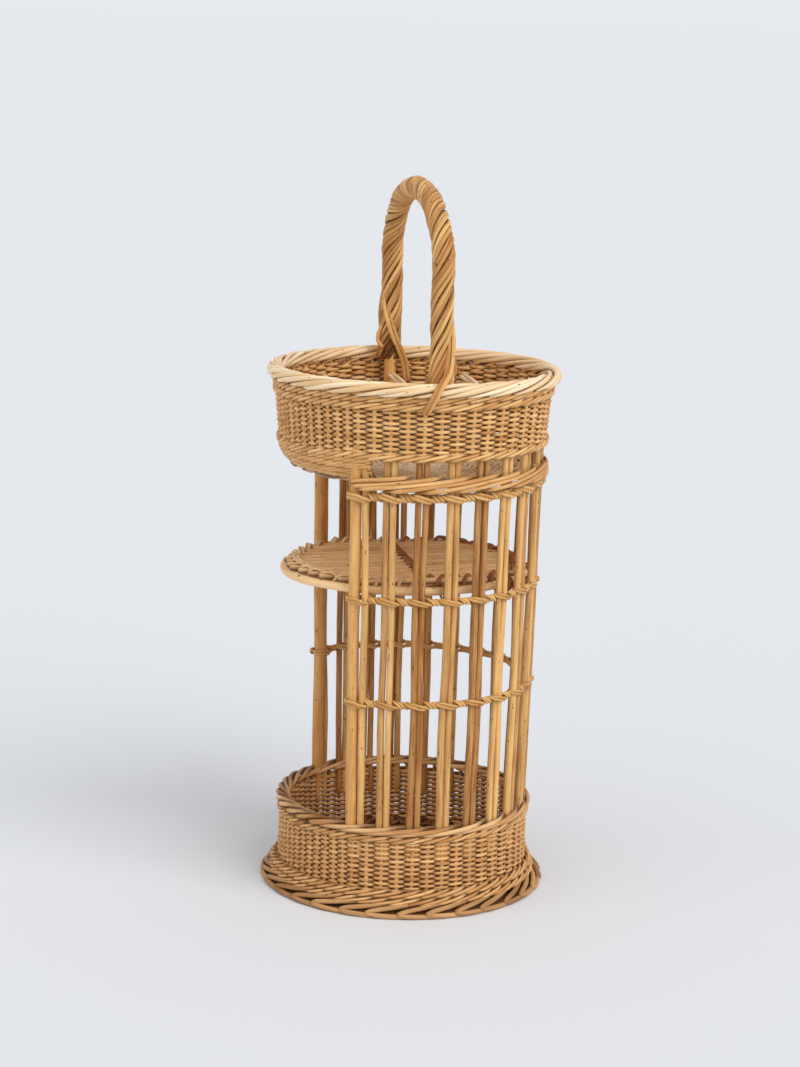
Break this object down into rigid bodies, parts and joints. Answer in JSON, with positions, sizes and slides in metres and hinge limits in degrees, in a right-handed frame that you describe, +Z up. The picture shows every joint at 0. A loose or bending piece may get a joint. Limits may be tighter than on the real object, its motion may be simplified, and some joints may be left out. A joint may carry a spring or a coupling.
{
  "type": "wicker bottle holder",
  "caption": "Tall round wicker bottle holder: low basket on a flared foot, open-fronted rod cage with a slatted shelf, upper basket with dividers and a roped hoop handle.",
  "frame": {"origin": "centre of the foot's underside, on the surface that it stands on", "axes": "+Z up along the cage, -Y out through the open front, X along the handle's span"},
  "size_m": [0.3, 0.299, 0.7289],
  "materials": {
    "rod_cane": "satin cane",
    "post_cane": "satin cane",
    "woven_willow": "matt woven willow",
    "border_willow": "matt rolled willow",
    "twined_strand": "matt split cane",
    "shelf_cane": "split cane",
    "dark_binding": "dark split cane",
    "divider_cane": "pale cane",
    "handle_roping": "satin willow"
  },
  "bodies": {
    "root": {"foot_border": "border_willow", "lower_base": "woven_willow", "lower_wall": "woven_willow", "lower_border": "border_willow", "post_right": "post_cane", "post_rod_right": "rod_cane", "post_left": "post_cane", "post_rod_left": "rod_cane", "rod_01a": "rod_cane", "rod_01b": "rod_cane", "rod_02a": "rod_cane", "rod_02b": "rod_cane", "rod_03a": "rod_cane", "rod_03b": "rod_cane", "rod_04a": "rod_cane", "rod_04b": "rod_cane", "rod_05a": "rod_cane", "rod_05b": "rod_cane", "rod_06a": "rod_cane", "rod_06b": "rod_cane", "rod_07a": "rod_cane", "rod_07b": "rod_cane", "rod_08a": "rod_cane", "rod_08b": "rod_cane", "rod_09a": "rod_cane", "rod_09b": "rod_cane", "rod_10a": "rod_cane", "rod_10b": "rod_cane", "rod_11a": "rod_cane", "rod_11b": "rod_cane", "rod_12a": "rod_cane", "rod_12b": "rod_cane", "rod_13a": "rod_cane", "rod_13b": "rod_cane", "rod_14a": "rod_cane", "rod_14b": "rod_cane", "rod_15a": "rod_cane", "rod_15b": "rod_cane", "rod_16a": "rod_cane", "rod_16b": "rod_cane", "rod_17a": "rod_cane", "rod_17b": "rod_cane", "twined_band_lower": "twined_strand", "twined_band_shelf": "twined_strand", "twined_band_upper": "twined_strand", "shelf_deck": "shelf_cane", "shelf_binding": "dark_binding", "shelf_tie": "dark_binding", "bottom_wale": "woven_willow", "upper_floor": "woven_willow", "upper_wall": "woven_willow", "divider_front": "divider_cane", "divider_middle": "divider_cane", "divider_back": "divider_cane", "upper_border": "border_willow", "handle_core": "post_cane", "handle_roping": "handle_roping"}
  },
  "joints": []
}
